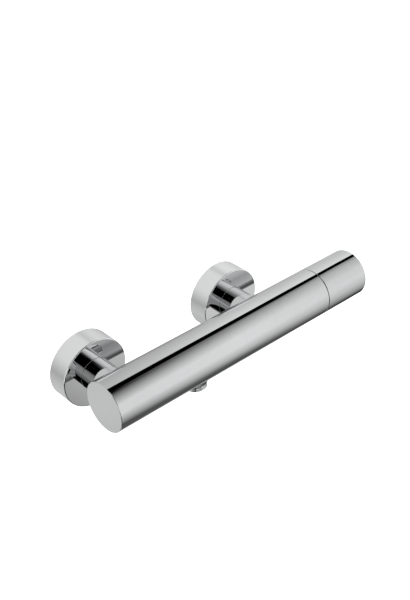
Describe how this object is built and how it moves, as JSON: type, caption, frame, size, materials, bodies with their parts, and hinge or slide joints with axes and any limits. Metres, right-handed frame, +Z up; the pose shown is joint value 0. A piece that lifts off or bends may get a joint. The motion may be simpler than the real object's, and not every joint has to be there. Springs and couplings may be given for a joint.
{
  "type": "shower mixer",
  "caption": "Wall-mounted bar shower mixer: a polished chrome cylinder on short necks with round escutcheons, a coaxial turning handle at its end and a threaded hose outlet below.",
  "frame": {"origin": "on the axis of the hot inlet thread, at the wall plane where the escutcheons end", "axes": "+X along the bar towards the cold inlet and the handle, +Y into the wall along the inlet threads, +Z up"},
  "size_m": [0.2932, 0.1003, 0.0615],
  "materials": {
    "polished_chrome": "mirror-polished chrome plate on brass",
    "bare_brass": "machined brass",
    "seal_rubber": "black rubber",
    "steel": "stainless steel",
    "cartridge_plastic": "moulded acetal",
    "ceramic_disc": "lapped alumina",
    "glide_plastic": "dark glide plastic"
  },
  "bodies": {
    "bar": {"bar_body": "polished_chrome", "union_nuts": "polished_chrome", "union_washers": "seal_rubber", "strainers": "steel", "eccentric_unions": "bare_brass", "hose_nipple": "polished_chrome", "check_valve_body": "cartridge_plastic", "check_valve_spring": "steel", "cartridge_base": "cartridge_plastic", "cartridge_housing": "cartridge_plastic", "fixed_disc": "ceramic_disc", "retaining_nut": "bare_brass", "glide_ring": "glide_plastic"},
    "escutcheon_hot": {"escutcheon_hot": "polished_chrome"},
    "escutcheon_cold": {"escutcheon_cold": "polished_chrome"},
    "check_valve": {"check_valve_poppet": "cartridge_plastic"},
    "handle": {"moving_disc": "ceramic_disc", "stem": "bare_brass", "handle_shell": "polished_chrome", "handle_hub": "bare_brass", "grub_screw": "steel", "screw_plug": "polished_chrome"}
  },
  "joints": [
    {"name": "handle_turn", "type": "hinge", "parent": "bar", "child": "handle", "pos_m": [0.213, -0.0583, 0.008], "axis": [1, 0, 0], "range_deg": [0, 120]},
    {"name": "hot_escutcheon_slide", "type": "slide", "parent": "bar", "child": "escutcheon_hot", "axis": [0, -1, 0], "range_m": [0, 0.016]},
    {"name": "cold_escutcheon_slide", "type": "slide", "parent": "bar", "child": "escutcheon_cold", "axis": [0, -1, 0], "range_m": [0, 0.016]},
    {"name": "check_valve_lift", "type": "slide", "parent": "bar", "child": "check_valve", "axis": [0, 0, -1], "range_m": [0, 0.003], "stiffness_N_per_m": 150, "springref_m": -0.003, "deforming": ["check_valve_spring"]}
  ]
}
